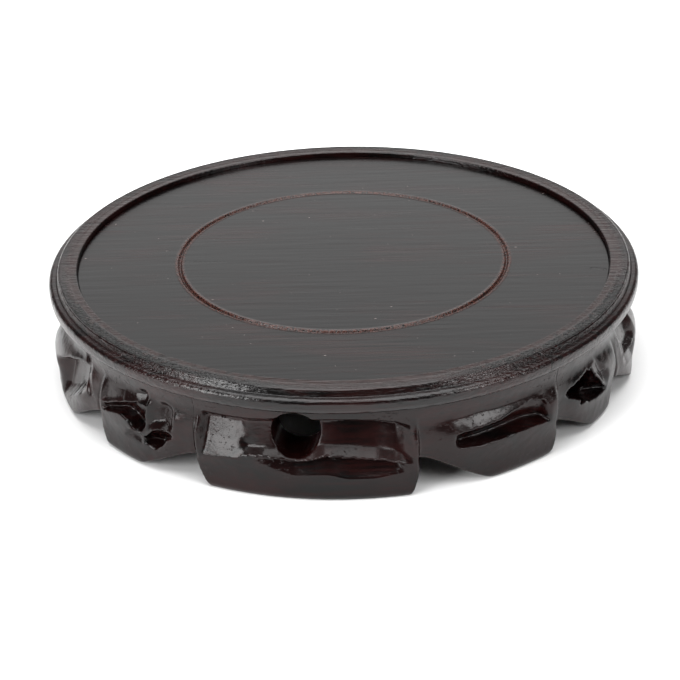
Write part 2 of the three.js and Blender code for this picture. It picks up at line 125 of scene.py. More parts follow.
# Hollows carved in the feet. Each says whether its pocket is an undercut, and has
# rows from left to right: azimuth, how much of it is carved, height of its ridge,
# height and depth where its shelf ends, height and depth of its top, and depth
# and height of the pocket under the ridge. Depths are taken inwards from the
# plain ring.
HOLLOWS = (
    (False, ((-28.5, 0, 12.4, 20, 1.8, 26, 4.2, 0, 3), (-27.2, 1, 12.6, 20, 1.8, 26, 4.3, 0, 3),
             (-20.4, 1, 14.2, 20, 1.2, 26.4, 4.2, 0, 3), (-18.8, 1, 15.6, 18.4, 1.1, 26.6, 3.2, 0.6, 3),
             (-15.4, 1, 16.2, 18.8, 1.0, 27.2, 3.4, 1.4, 3), (-12.8, 1, 15.8, 19, 1.4, 28, 3.6, 3.2, 4.4),
             (-9.7, 1, 15, 18.6, 2, 28, 3.8, 4.4, 5), (-6.6, 1, 16.2, 19.8, 2.1, 28, 5.2, 5.4, 5.8),
             (-3.8, 1, 17.6, 21.1, 2.1, 28.4, 4.6, 6.2, 7), (0.4, 1, 17, 20.6, 2.1, 28.2, 6.2, 7, 8.2),
             (4.8, 1, 16, 19.5, 2, 27.6, 6.2, 6.6, 7.2), (9, 1, 13.9, 17.3, 2, 26, 6, 3.8, 4.2),
             (10.4, 0.8, 12.8, 16, 1.9, 25, 5, 1, 3), (13.2, 0, 11.6, 15, 1, 24, 2, 0, 3))),
    (True, ((19.2, 0, 20.6, 23.2, -0.4, 26, 1.0, 0, 3), (21.2, 1, 21.2, 23.6, -0.4, 26.2, 1.1, 5.6, 5.4),
            (25, 1, 21.7, 24, -0.4, 26.6, 1.2, 7.0, 6.6), (28.8, 1, 22.2, 24.2, -0.4, 26.4, 1.0, 7.2, 6.8),
            (33.3, 1, 23.8, 25, -0.2, 26.2, 0.8, 7.2, 8), (36.5, 1, 24.8, 25.4, -0.2, 26.2, 0.5, 6.8, 9),
            (39.6, 1, 23.4, 24, -0.4, 25, 0.4, 5.8, 8), (41.4, 0, 19, 20, 0, 21, 0, 0, 5))),
    (True, ((45.8, 0, 21, 22, -1, 24, 0, 0, 1), (47.2, 1, 22, 23, -1, 24, 0, 5.6, 3.6),
            (50, 1, 23.2, 24.4, -1, 26, 0, 7.4, 7.4), (53.2, 1, 24.4, 25.6, -1, 27, 0, 7.8, 12),
            (56, 1, 19.6, 22, -0.6, 25, 0, 7.4, 8), (59.6, 1, 13, 16, -1, 18, 0, 4.6, 1.8),
            (60.8, 0, 11.6, 14, -1, 16, 0, 0, 1))),
    (False, ((68, 0, 16, 18, -1, 24, 1, 0, 3), (71, 1, 16.6, 19, -1, 26, 2.6, 2.6, 5),
             (76, 1, 16, 19, -1, 26.6, 2.6, 3.4, 6), (79.4, 0, 15.6, 18, -1, 24, 1, 0, 3))),
    (True, ((-53, 0, 17.6, 19, -1.6, 25, 0, 0, 2), (-51.8, 1, 18.2, 20, -1.4, 25.5, 0.2, 3.6, 2.6),
            (-47, 1, 21.6, 23, -0.9, 26, 0.6, 5.8, 3.8), (-44.8, 1, 22.8, 24.4, -1.4, 26.8, -0.2, 6.4, 6),
            (-43, 1, 23.8, 25, 0, 27, 1.4, 6.8, 11), (-41.2, 1, 23.6, 25, 1.2, 27, 2.8, 6.6, 9),
            (-39.8, 0, 22.6, 23.6, -1, 26, 0, 0, 5))),
    (True, ((-41.6, 0, 12, 16, -1, 24, 0, 0, 1), (-40.2, 1, 13.2, 17.5, -1.4, 24.5, -0.6, 5, 3.2),
            (-38.1, 1, 16.6, 19.6, 0.2, 25, 1.6, 6.8, 7.6), (-36.4, 1, 17.8, 20, 1, 25, 2.8, 6.4, 6.4),
            (-35, 0.9, 17.4, 19, 0.8, 24.4, 2.4, 3.8, 2.6), (-33.4, 0, 17, 19, -1, 23.6, 0, 0, 1))),
    (False, ((-76.5, 0, 4, 8, -2, 14, 0, 0, 2), (-73, 1, 2.6, 7, -0.2, 16, 1.8, 0, 2),
             (-68, 1, 6, 11, 1.4, 20, 3.2, 0, 2), (-64, 1, 10.5, 15.5, 1.6, 22, 3.4, 0, 2),
             (-61, 1, 14, 17.5, 0.4, 23, 2.2, 0, 2), (-58.2, 0, 16, 18.5, -1, 24, 0, 0, 2))),
)
# Height over which a hollow closes at its top, and how deep the copies turned to
# the back may go there, where pegs stand behind them
CLOSING, COPY_DEPTH = 2.8, 4.2
# Pockets: share of the height over which an undercut reaches its full depth, how
# much shallower it gets up to the ridge, and the power that bends the others
UNDERCUT_EDGE, UNDERCUT_TAPER, POCKET_BEND = 0.14, 0.6, 0.9

# Single gouge cuts. Each has its corners as azimuth and height, how steeply its
# floor falls away from each side, and its greatest depth.
GOUGES = (
    # Third foot: a chip low down
    (((-46.4, 9.6), (-41.2, 8.8), (-40.8, 13.6), (-44.8, 13.4)), (0.5, 0.9, 2.0, 0.9), 1.4),
    # Second foot: a long flute
    (((-62.4, 29.5), (-57.6, 15.6), (-56.4, 16.6), (-60.2, 30.5)), (0.8, 0.5, 0.8, 0.5), 0.7),
    # First foot: an oval hollow
    (((-96.0, 15.0), (-91.0, 13.0), (-88.4, 17.0), (-88.0, 24.0), (-91.0, 28.0), (-96.0, 26.0)),
     (1.6, 3.8, 1.8, 1.2, 1.0, 0.8), 5.6),
)
GOUGE_BLEND = 0.25

# The feet that face away repeat a hollow from the front, turned by some degrees
BACK_HOLLOWS = ((0, 178.7), (1, 173.0), (2, 74.0), (3, 67.0), (4, 275.0), (5, 275.0), (6, 167.0))
# Round holes: azimuth, height and radius. Frets: azimuth and height, corners,
# how they are rounded, where their cutter starts and how long it is.
ROUND_HOLES = ((-9.7, 24.6, 8.3), (169.0, 24.6, 8.3))
HOLE_RADIUS, HOLE_HALF = 99, 14
FRETS = ((53.0, 18.5), (127.0, 18.5))
FRET_CORNERS = ((-6.5, -4.7), (6.5, -4.7), (3.1, 6.5))
FRET_ROUNDING, FRET_START, FRET_LENGTH = 1.6, 113, 28

# Wear on the panel: place, half length and half width, and turn in degrees
PANEL_MARKS = (
    ((94.0, -15.6), (3.2, 0.9), -12), ((97.2, -23.5), (0.8, 5.6), -6),
    ((13.6, 25.5), (13.5, 0.5), -3), ((-51.2, -1.7), (8.8, 0.3), -3),
)

# Bores for pegs and dowels and slots for splines, inside the joints. A peg that
# stands up to so many degrees past a segment is cut from it too.
PEGS = {"at": (-20, 33, 56, 105, 128, 177, 200, 249, 273, 318), "radius": 98.2,
        "bore": 2.3, "from": 25.1, "to": 37.7, "past": 3}
DOWELS = {"radius": 98.2, "height": 25.84, "bore": 2.3, "half": 10.3}
SPLINES = {"radius": 104.6, "size": (15.6, 3.0, 4.6), "height": 37.6}

# Lights: name, place, width, depth and power in watts, all aimed at one point
SOFTBOXES = (
    ("overhead_softbox", (0.0, -0.03, 1.05), 1.1, 1.3, 22.0),
    ("left_softbox", (-0.95, -0.8, 0.54), 0.55, 0.72, 15.0),
    ("right_softbox", (0.95, -0.8, 0.66), 0.45, 0.5, 8.0),
)
LIGHTS_AIM = (0, 0, 0.02)
# Walls: how bright they are in front and at the sides, behind the stand, and
# overhead, and where each change begins and ends in the direction of view
WALL_BRIGHTNESS = 0.12
BACK_BRIGHTNESS = 1.08
CEILING_BRIGHTNESS = 0.12
BACK_FROM = (0.45, 0.75)
SIDE_FROM = (0.16, 0.035)
CEILING_FROM = (0.5, 0.75)
# The floor glows faintly, so that the stand throws a soft, light shadow. The glow
# starts past the ring, and a little nearer at the front.
FLOOR_HALF = 6
FLOOR_GLOW = 0.42
FLOOR_GLOW_FROM = (0.118, 0.16)
FLOOR_GLOW_LEAN = 0.25

# Camera: distance and elevation from the middle of the panel, roll, and the
# photograph's side, principal point and focal length in pixels
CAMERA_AWAY, CAMERA_RISE, CAMERA_ROLL, CAMERA_AIM = 715, 25.1, 1.4, 41
PHOTO_SIDE, PHOTO_CENTRE, PHOTO_FOCAL = 680, (343.1, 256.7), 1900.8
SENSOR_WIDTH = 36

# Colours laid over the stain
GROOVE_RED = (0.052, 0.018, 0.013)
DUST = (0.2, 0.17, 0.16)
DENT = (0.001, 0.0007, 0.0006)
LIP_RED = (0.015, 0.0045, 0.0036)
SPECKLE_BLACK = (0.0007, 0.0005, 0.0005)
RING_RED = (0.0055, 0.0013, 0.0012)
OILED_DARK, OILED_PALE = (0.035, 0.016, 0.009), (0.1, 0.05, 0.026)


# Meshes

def piece(name, mesh, body, nodes, look):
    """Puts a finished mesh in the scene in place of its CAD solids."""
    made = bpy.data.objects.new(name, mesh)
    bpy.context.scene.collection.objects.link(made)
    made.data.materials.clear()
    made.data.materials.append(look)
    made.data.shade_smooth()
    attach(made, body)
    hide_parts(*nodes)
    return made


def to_mesh(shape, name):
    """Ends a bmesh, with doubles merged and faces outward."""
    bmesh.ops.remove_doubles(shape, verts=shape.verts, dist=MERGE_BELOW)
    bmesh.ops.recalc_face_normals(shape, faces=shape.faces)
    if shape.calc_volume(signed=True) < 0:
        bmesh.ops.reverse_faces(shape, faces=shape.faces)
    mesh = bpy.data.meshes.new(name)
    shape.to_mesh(mesh)
    shape.free()
    return mesh


def only(kind, geometry):
    """The vertices or edges in a list of mixed geometry."""
    return [item for item in geometry if isinstance(item, kind)]


def everything(shape):
    return shape.verts[:] + shape.edges[:] + shape.faces[:]


def section(shape, points, segments=5):
    """A flat face in the XZ plane from corner points, each with its rounding."""
    corners = [shape.verts.new((x * MM, 0, z * MM)) for x, z, _ in points]
    shape.faces.new(corners)
    for corner, (_, _, rounding) in zip(corners, points):
        if rounding:
            bmesh.ops.bevel(shape, geom=[corner], offset=rounding * MM, offset_type="OFFSET",
                            affect="VERTICES", segments=segments, profile=0.5, material=-1)
    return shape


def turn(shape, start, end, step):
    """Spins what is in the shape, drawn in the XZ plane, from one azimuth to another."""
    bmesh.ops.rotate(shape, verts=shape.verts, cent=(0, 0, 0),
                     matrix=Matrix.Rotation(math.radians(start - 90), 3, "Z"))
    steps = max(1, round(abs(end - start) / step))
    bmesh.ops.spin(shape, geom=everything(shape), cent=(0, 0, 0),
                   axis=(0, 0, 1), angle=math.radians(end - start), steps=steps)


def evaluated(mesh, name, cutters=(), voxel=None):
    """The mesh with the cutters taken away and, if asked, remeshed in even faces."""
    subject = bpy.data.objects.new(name, mesh)
    bpy.context.scene.collection.objects.link(subject)
    tools = []
    for cutter in cutters:
        tool = bpy.data.objects.new("cutter", cutter)
        bpy.context.scene.collection.objects.link(tool)
        tools.append(tool)
        cut = subject.modifiers.new("cut", "BOOLEAN")
        cut.operation, cut.solver, cut.object = "DIFFERENCE", "MANIFOLD", tool
    if voxel:
        remesh = subject.modifiers.new("even", "REMESH")
        remesh.mode, remesh.voxel_size, remesh.use_smooth_shade = "VOXEL", voxel * MM, True
    graph = bpy.context.evaluated_depsgraph_get()
    result = bpy.data.meshes.new_from_object(subject.evaluated_get(graph), depsgraph=graph)
    for used in (subject, *tools):
        bpy.data.objects.remove(used)
    result.name = name
    return result


def sharpen(made, angle):
    """Keeps the edges past an angle sharp."""
    shape = bmesh.new()
    shape.from_mesh(made.data)
    for edge in shape.edges:
        edge.smooth = not (edge.is_manifold and edge.calc_face_angle(0) > math.radians(angle))
    shape.to_mesh(made.data)
    shape.free()


def rod(radius, half, matrix):
    """A round cutter along its own Z."""
    shape = bmesh.new()
    bmesh.ops.create_cone(shape, cap_ends=True, segments=48, radius1=radius * MM,
                          radius2=radius * MM, depth=2 * half * MM, matrix=matrix)
    return to_mesh(shape, "rod")


def lengthen(shape, length):
    """Draws a flat shape out along Y into a prism."""
    whole = bmesh.ops.extrude_face_region(shape, geom=shape.faces[:])
    moved = only(bmesh.types.BMVert, whole["geom"])
    bmesh.ops.translate(shape, verts=moved, vec=(0, length * MM, 0))


def at(azimuth, radius, height):
    """Frame of a tool at an azimuth: X along the ring, Y inwards, Z up."""
    return (Matrix.Rotation(math.radians(azimuth), 4, "Z")
            @ Matrix.Translation((0, -radius * MM, height * MM)))


def block(size, matrix):
    """A box-shaped cutter."""
    shape = bmesh.new()
    grown = matrix @ Matrix.Diagonal((*(side * MM for side in size), 1))
    bmesh.ops.create_cube(shape, size=1, matrix=grown)
    return to_mesh(shape, "block")


def joint_pair(joints, index):
    """Azimuths where a segment starts and ends, past a full turn for the last one."""
    last = index + 1 == len(joints)
    return joints[index], joints[(index + 1) % len(joints)] + (360 if last else 0)


def turn_from(azimuth, middle):
    """Degrees from one azimuth to another, between -180 and 180."""
    return (azimuth - middle + 180) % 360 - 180


def is_on(azimuth, start, end, past=0):
    """Whether an azimuth lies on a segment, or up to so many degrees past it."""
    return abs(turn_from(azimuth, (start + end) / 2)) < (end - start) / 2 + past


def peg_cutters(start, end):
    """Bores for the pegs between two azimuths."""
    half = (PEGS["to"] - PEGS["from"]) / 2
    return [rod(PEGS["bore"], half, at(azimuth, PEGS["radius"], PEGS["from"] + half))
            for azimuth in PEGS["at"] if is_on(azimuth, start, end, PEGS["past"])]


# Carved ring

def step_up(low, high, value):
    """0 below low and 1 above high, eased."""
    t = np.clip((value - low) / (high - low), 0, 1)
    return t * t * (3 - 2 * t)


def arch_height(azimuth):
    """Height of the ring's lower edge, zero on a foot."""
    height = np.zeros_like(azimuth)
    for start, top, end, rise, slope in ARCHES:
        away = turn_from(azimuth, top)
        for side, reach in enumerate((top - start, end - top)):
            on = (away < 0) if side == 0 else (away >= 0)
            share = np.clip(np.abs(away) / reach, 0, 1)
            bend, lean = SLOPE_CURVE if side == slope else STEEP_CURVE
            height = np.where(on, np.maximum(height, rise * (1 - share ** bend) ** lean), height)
    return height


def slope_way(arch):
    """1 where the long slope follows an arch's top and -1 where it comes before."""
    return 1 if arch[4] == 1 else -1


def along_slope(azimuth, arch):
    """Degrees from an azimuth to an arch's top, positive on its slope's side."""
    return turn_from(azimuth, arch[1]) * slope_way(arch)


def side_turn(azimuth, height):
    """Degrees by which the steep side of a foot swells out under the arch beside it."""
    turned = np.zeros_like(azimuth)
    for arch in ARCHES:
        inside = -along_slope(azimuth, arch)
        near = np.where(inside >= 0, np.exp(-((inside / SIDE_ANGLE) ** 2)), 0)
        rise = np.sin(np.pi * np.clip(height / arch[3], 0, 1))
        turned += slope_way(arch) * SIDE_SWELL * near * rise
    return turned


def foot_reach(azimuth):
    """How far out the foot at an azimuth stands, eased from one foot to the next."""
    tops = [arch[1] for arch in ARCHES]
    reach = np.zeros_like(azimuth)
    for index, stands_out in enumerate(FOOT_REACH):
        top, after = joint_pair(tops, index)
        half = (after - top) / 2
        away = np.abs(turn_from(azimuth, top + half))
        reach = reach + stands_out * (1 - step_up(half - FOOT_EASE, half + FOOT_EASE, away))
    return reach


def gouge(azimuth, height, corners, slopes, depth):
    """Depth of a cut whose floor falls away from each of its sides in a plane."""
    scale = math.radians(1) * RING_OUTER
    middle = sum(a for a, _ in corners) / len(corners)
    places = np.array([((a - middle) * scale, z) for a, z in corners])
    across = turn_from(azimuth, middle) * scale
    area = sum(a[0] * b[1] - b[0] * a[1] for a, b in zip(places, np.roll(places, -1, 0)))
    floor = np.full_like(across, depth)
    for start, end, slope in zip(places, np.roll(places, -1, 0), slopes):
        along = (end - start) / np.linalg.norm(end - start)
        inward = along[0] * (height - start[1]) - along[1] * (across - start[0])
        floor = soft_min(floor, inward * math.copysign(1, area) * slope, GOUGE_BLEND)
    return np.maximum(floor, 0)


def soft_min(first, second, blend):
    """The smaller of two depths, rounded off where they are nearly the same."""
    near = np.clip(0.5 + 0.5 * (second - first) / blend, 0, 1)
    return second * (1 - near) + first * near - blend * near * (1 - near)


def hollow(azimuth, height, cut, turned):
    """Radius where a hollow is carved, no further out than the plain surface."""
    undercut, rows = cut
    places = [row[0] + turned for row in rows]
    middle = places[len(places) // 2]
    where = turn_from(azimuth, middle) + middle
    amount, ridge, shelf, shelf_in, top, top_in, pocket, drop = (
        eased(where, places, [row[column] for row in rows]) for column in range(1, 9))
    if turned:
        top_in = np.minimum(top_in, COPY_DEPTH)
    edge = plain_radius(azimuth, ridge)
    inner, roof = RING_OUTER - shelf_in, plain_radius(azimuth, top + CLOSING)
    # Up the shelf, up the scoop above it, and back out to the plain surface
    carved = np.where(height < shelf, edge + (inner - edge) * (height - ridge) / (shelf - ridge),
                      inner + (shelf_in - top_in) * (height - shelf) / (top - shelf))
    rise = np.clip((height - top) / CLOSING, 0, 1)
    closing = RING_OUTER - top_in + (roof - RING_OUTER + top_in) * rise * rise * (3 - 2 * rise)
    carved = np.where(height > top, closing, carved)
    base = plain_radius(azimuth, height)
    inside = (height > ridge) & (height < top + CLOSING)
    carved = np.where(inside, np.minimum(carved, base), base)
    # The pocket under the ridge
    share = np.clip((height - ridge + drop) / drop, 0, 1)
    if undercut:
        under = np.minimum(share / UNDERCUT_EDGE, 1) * (1 - UNDERCUT_TAPER * share)
    else:
        under = share ** POCKET_BEND
    carved = np.where(height < ridge, base - under * pocket, carved)
    return base + (carved - base) * amount


def eased(where, places, values):
    """Values at places, joined by curves that leave and reach each place level."""
    steps = np.clip(np.searchsorted(places, where) - 1, 0, len(places) - 2)
    places, values = np.array(places), np.array(values, float)
    share = np.clip((where - places[steps]) / (places[steps + 1] - places[steps]), 0, 1)
    share = 0.5 * share + 0.5 * share * share * (3 - 2 * share)
    return values[steps] + (values[steps + 1] - values[steps]) * share


def plain_radius(azimuth, height):
    """Radius of the ring's outer face before its hollows and gouge cuts."""
    share = height / RING_TOP
    swell = SWELL * np.sin(np.pi * np.minimum(1, (1 - share) / SWELL_TOP)) ** 2
    cove = COVE["depth"] * np.exp(-(((share - COVE["middle"]) / COVE["spread"]) ** 2))
    high = step_up(*REACH_FADE, share)
    crease = np.zeros_like(share)
    for arch in ARCHES:
        rise = arch[3] / RING_TOP
        fade = 1 - step_up(*(rise + past for past in CREASE["fade"]), share)
        away = along_slope(azimuth, arch)
        wide = np.where(away > 0, CREASE["slope"], CREASE["steep"])
        crease = np.maximum(crease, CREASE["depth"] * fade * np.exp(-((away / wide) ** 2)))
    tuck = TUCK * np.maximum(0, 1 - height / TUCK_RISE) ** 2
    return RING_OUTER + swell - cove - crease - tuck + foot_reach(azimuth) * (1 - high)


def outer_radius(azimuth, height):
    """Radius of the ring's carved outer face."""
    radius = plain_radius(azimuth, height)
    for cut in HOLLOWS:
        radius = np.minimum(radius, hollow(azimuth, height, cut, 0))
    for index, turned in BACK_HOLLOWS:
        radius = np.minimum(radius, hollow(azimuth, height, HOLLOWS[index], turned))
    depth = np.zeros_like(radius)
    for corners, slopes, deep in GOUGES:
        depth = np.maximum(depth, gouge(azimuth, height, corners, slopes, deep))
    return radius - depth


def ring_body(start, end):
    """A segment from a plain block that is turned, divided and moved into shape."""
    spare = math.degrees(RING_SPARE / RING_OUTER)
    shape = bmesh.new()
    section(shape, ((RING_INNER, 0, 0), (RING_OUTER, 0, 0),
                    (RING_OUTER, RING_TOP, 0), (RING_INNER, RING_TOP, 0)))
    turn(shape, start - spare, end + spare, RING_STEP)
    upright = [e for e in shape.edges if abs(e.verts[0].co.z - e.verts[1].co.z) > MM]
    for wall, cuts in ((RING_OUTER, RING_ROWS["outer"]), (RING_INNER, RING_ROWS["inner"])):
        rows = [e for e in upright if abs(e.verts[0].co.xy.length - wall * MM) < 0.1 * MM]
        bmesh.ops.subdivide_edges(shape, edges=rows, cuts=cuts, use_grid_fill=True)
    places = np.array([v.co for v in shape.verts]) / MM
    azimuth = np.degrees(np.arctan2(places[:, 0], -places[:, 1]))
    middle = (start + end) / 2
    azimuth = middle + turn_from(azimuth, middle)
    outer = np.hypot(places[:, 0], places[:, 1]) > RING_INNER + 1
    low = arch_height(azimuth)
    height = low + places[:, 2] / RING_TOP * (RING_TOP - low)
    radius = np.where(outer, outer_radius(azimuth, height), RING_INNER)
    turned = np.radians(azimuth + side_turn(azimuth, height))
    for vert, r, a, z in zip(shape.verts, radius, turned, height):
        vert.co = Vector((r * math.sin(a), -r * math.cos(a), z)) * MM
    return to_mesh(shape, "ring_body")


def ring_cutters(start, end):
    """Holes, frets and the bores for pegs and dowels of one segment."""
    quarter = math.radians(90)
    cutters = [rod(hole, HOLE_HALF, at(azimuth, HOLE_RADIUS, height) @ Matrix.Rotation(quarter, 4, "X"))
               for azimuth, height, hole in ROUND_HOLES if is_on(azimuth, start, end)]
    cutters += [fret_cutter(*fret) for fret in FRETS if is_on(fret[0], start, end)]
    cutters += peg_cutters(start, end)
    for azimuth in (start, end):
        place = at(azimuth, DOWELS["radius"], DOWELS["height"])
        cutters.append(rod(DOWELS["bore"], DOWELS["half"], place @ Matrix.Rotation(quarter, 4, "Y")))
    return cutters


def ring_mesh(index, voxel):
    """One carved segment, in fine, even faces."""
    start, end = joint_pair(RING_JOINTS, index)
    mesh = evaluated(ring_body(start, end), f"foot_ring_carved_{index + 1}", ring_cutters(start, end), voxel)
    work = bmesh.new()
    work.from_mesh(mesh)
    bmesh.ops.smooth_vert(work, verts=work.verts, factor=0.5,
                          use_axis_x=True, use_axis_y=True, use_axis_z=True)
    for vert in work.verts:
        radius = math.hypot(vert.co.x, vert.co.y) / MM
        if radius > RING_INNER + 1.5 and vert.co.z > 0.6 * MM:
            wave = sum(noise.noise(vert.co * fine) * deep for fine, deep in WAVES)
            vert.co += Vector((vert.co.x, vert.co.y, 0)).normalized() * wave * MM
    for azimuth, way in ((start, -1), (end, 1)):
        trim(work, azimuth, way)
    work.to_mesh(mesh)
    work.free()
    return mesh


def trim(shape, azimuth, way):
    """Cuts a segment off at a joint and closes the cut, round the dowel's bore."""
    turned = math.radians(azimuth)
    across = Vector((math.cos(turned), math.sin(turned), 0)) * way
    cut = bmesh.ops.bisect_plane(shape, geom=everything(shape), dist=1e-7, clear_outer=True,
                                 plane_co=across * (-RING_GAP / 2 * MM), plane_no=across)
    edges = only(bmesh.types.BMEdge, cut["geom_cut"])
    bmesh.ops.triangle_fill(shape, edges=edges, use_beauty=True, normal=across)


def fret_cutter(azimuth, height):
    """A three-sided prism with rounded corners, pointing through the ring."""
    shape = bmesh.new()
    section(shape, [(x, z, FRET_ROUNDING) for x, z in FRET_CORNERS], segments=4)
    lengthen(shape, FRET_LENGTH)
    bmesh.ops.transform(shape, matrix=at(azimuth, FRET_START, height), verts=shape.verts)
    return to_mesh(shape, "fret")


# Materials

class Number:
    """A number that varies over a surface, with plain sums that add Math nodes."""

    def __init__(self, look, socket):
        self.look, self.socket = look, socket

    def sum(self, operation, *values):
        return self.look.node("ShaderNodeMath", {"operation": operation}, *values)

    def __add__(self, other):
        return self.sum("ADD", self, other)

    def __sub__(self, other):
        return self.sum("SUBTRACT", self, other)

    def __rsub__(self, other):
        return self.sum("SUBTRACT", other, self)

    def __mul__(self, other):
        return self.sum("MULTIPLY", self, other)

    __radd__, __rmul__ = __add__, __mul__

    def between(self, low, high):
        """0 below low and 1 above high, or the other way round, eased."""
        return self.look.node("ShaderNodeMapRange", {"interpolation_type": "SMOOTHSTEP"},
                              self, low, high, 0.0, 1.0)

    def within(self, start, full, fading, end):
        """1 from full to fading, eased down to 0 at start and end."""
        return self.between(start, full) * self.between(end, fading)


class Look:
    """A material and the one method that adds its nodes."""

    def __init__(self, name, roughness, ior=1.4):
        self.material = bpy.data.materials.new(name)
        self.material.use_nodes = True
        self.tree = self.material.node_tree
        self.shader = self.tree.nodes["Principled BSDF"]
        self.shader.inputs["Roughness"].default_value = roughness
        self.shader.inputs["IOR"].default_value = ior
        self.place = self.node("ShaderNodeTexCoord", {}, output="Object")

    def node(self, kind, settings, *values, output=0, **named):
        """Adds a node with its settings and the values or links of its sockets."""
        made = self.tree.nodes.new(kind)
        for key, value in settings.items():
            setattr(made, key, value)
        named = {key.replace("_", " "): value for key, value in named.items()}
        for key, value in [*enumerate(values), *named.items()]:
            self.feed(made.inputs[key], value)
        return Number(self, made.outputs[output])

    def feed(self, socket, value):
        if isinstance(value, Number):
            self.tree.links.new(value.socket, socket)
        else:
            socket.default_value = value

    def set(self, **named):
        """Feeds sockets of the shader."""
        for key, value in named.items():
            self.feed(self.shader.inputs[key.replace("_", " ")], value)

    def noise(self, scale, detail, roughness=0.55, move=(0, 0, 0), turn=0.0):
        """Noise that is drawn finer or coarser along each axis."""
        place = self.node("ShaderNodeMapping", {}, self.place, move, (0, 0, turn), scale)
        return self.node("ShaderNodeTexNoise", {}, Vector=place, Scale=1.0,
                         Detail=detail, Roughness=roughness)

    def mix(self, factor, first, second):
        """A colour between two, by a Mix node."""
        made = self.tree.nodes.new("ShaderNodeMix")
        made.data_type = "RGBA"
        for socket, value in ((made.inputs[0], factor), (made.inputs[6], first), (made.inputs[7], second)):
            if not isinstance(value, (Number, float, int)):
                value = (*value, 1)
            self.feed(socket, value)
        return Number(self, made.outputs[2])

    def axes(self):
        """X, Y and Z of a point, its distance from the axis and its azimuth."""
        x, y, z = (self.node("ShaderNodeSeparateXYZ", {}, self.place, output=axis) for axis in "XYZ")
        radius = self.node("ShaderNodeMath", {"operation": "SQRT"}, x * x + y * y)
        azimuth = self.node("ShaderNodeMath", {"operation": "ARCTAN2"}, x, y * -1.0) * (180 / math.pi)
        return x, y, z, radius, azimuth

    def mark(self, place, half, turn):
        """1 inside a ragged oval at a place, 0 outside it."""
        inside = self.node("ShaderNodeMapping", {"vector_type": "TEXTURE"}, self.place,
                           (place[0] * MM, place[1] * MM, 0), (0, 0, math.radians(turn)),
                           (half[0] * MM, half[1] * MM, 10))
        away = self.node("ShaderNodeVectorMath", {"operation": "LENGTH"}, inside, output="Value")
        return (away + self.noise((700, 700, 700), 2.0) * 0.9).between(1.5, 1.2)

    def recolour(self, factor, colour):
        """Lays a colour over the base colour."""
        under = Number(self, self.shader.inputs["Base Color"].links[0].from_socket)
        self.set(Base_Color=self.mix(factor, under, colour))

    def bump(self, height, distance, strength=1.0):
        normal = self.node("ShaderNodeBump", {}, strength, distance, Height=height, output="Normal")
        self.set(Normal=normal)


def lacquered(name, turn_by, wear, gloss, finish):
    """Dark stained hardwood under lacquer, its grain turned to lie along a piece.

    Wear is the range of the noise over which the stain thins, and gloss the index
    of refraction of the lacquer.
    """
    dark, red = colours()
    look = Look(name, 0.2, gloss)
    streak = look.noise((26, 900, 900), 3.0, 0.6, turn=turn_by)
    cloud = look.noise((24, 60, 60), 3.0, 0.5, move=(3, 1, 2), turn=turn_by)
    pore = look.noise((60, 2600, 2600), 2.0, 0.5, turn=turn_by)
    blend = (streak * 0.6 + cloud * 0.7).between(*wear)
    look.set(Base_Color=look.mix(blend, dark, red))
    finish(look, streak, cloud, pore)
    return look.material


def panel_finish(look, streak, cloud, pore):
    """Open grain, dust in the pores, a worn red groove and a few dents."""
    _, _, _, radius, _ = look.axes()
    ripple = look.noise((34, 420, 300), 2.0, 0.5, move=(7, 3, 0))
    wave = look.noise((9, 22, 22), 1.0, 0.5, move=(1, 5, 0))
    fleck = look.noise((500, 900, 900), 1.0, 0.5, move=(0, 9, 0)).between(0.77, 0.81)
    grit = look.noise((1300, 1300, 1300), 2.0, 0.6)
    groove = radius.within(0.0592, 0.0603, 0.0623, 0.0634)
    look.recolour(groove * grit.between(0.38, 0.6), GROOVE_RED)
    look.recolour(fleck * cloud.between(0.4, 0.55), DUST)
    marks = [look.mark(*mark) for mark in PANEL_MARKS]
    for mark in marks:
        look.recolour(mark, DENT)
    dents = marks[0] + marks[1] + (marks[2] + marks[3]) * 0.25
    look.set(Roughness=(streak * 0.12 + cloud * 0.1) + 0.14)
    relief = ripple * 0.6 + wave * 0.8 + pore * 0.14 + fleck * 0.5 + groove * grit * 2.0
    look.bump(relief - dents * 4.0, 0.0002, 0.7)


def speckle(azimuth):
    """Rough, dusty lacquer, strong on the front left and front right."""
    left = azimuth.within(-86.0, -60.0, -34.0, -12.0)
    right = azimuth.within(14.0, 32.0, 62.0, 86.0)
    return left + right + 0.12


def rim_finish(look, streak, cloud, pore):
    """Speckled lacquer between lip and crest, and a lip rubbed red."""
    _, _, height, radius, azimuth = look.axes()
    grit = look.noise((1000, 1000, 1000), 2.0, 0.6)
    lump = look.noise((380, 380, 380), 2.0, 0.6)
    valley = radius.within(0.1018, 0.1028, 0.1056, 0.1063)
    speckled = speckle(azimuth)
    lip = radius.within(0.0994, 0.1, 0.1032, 0.1042) * height.between(0.042, 0.0424)
    look.recolour(lip * lump.between(0.3, 0.62), LIP_RED)
    dull = speckled * valley * lump.between(0.62, 0.48)
    look.recolour(dull, SPECKLE_BLACK)
    look.set(Roughness=(cloud * 0.16 + 0.12) + dull * 0.1)
    rough = (grit.between(0.4, 0.6) * 0.24 + lump * 0.9) * (speckled * (valley + 0.12))
    look.bump(rough + streak * 0.2, 0.0014, 1.0)


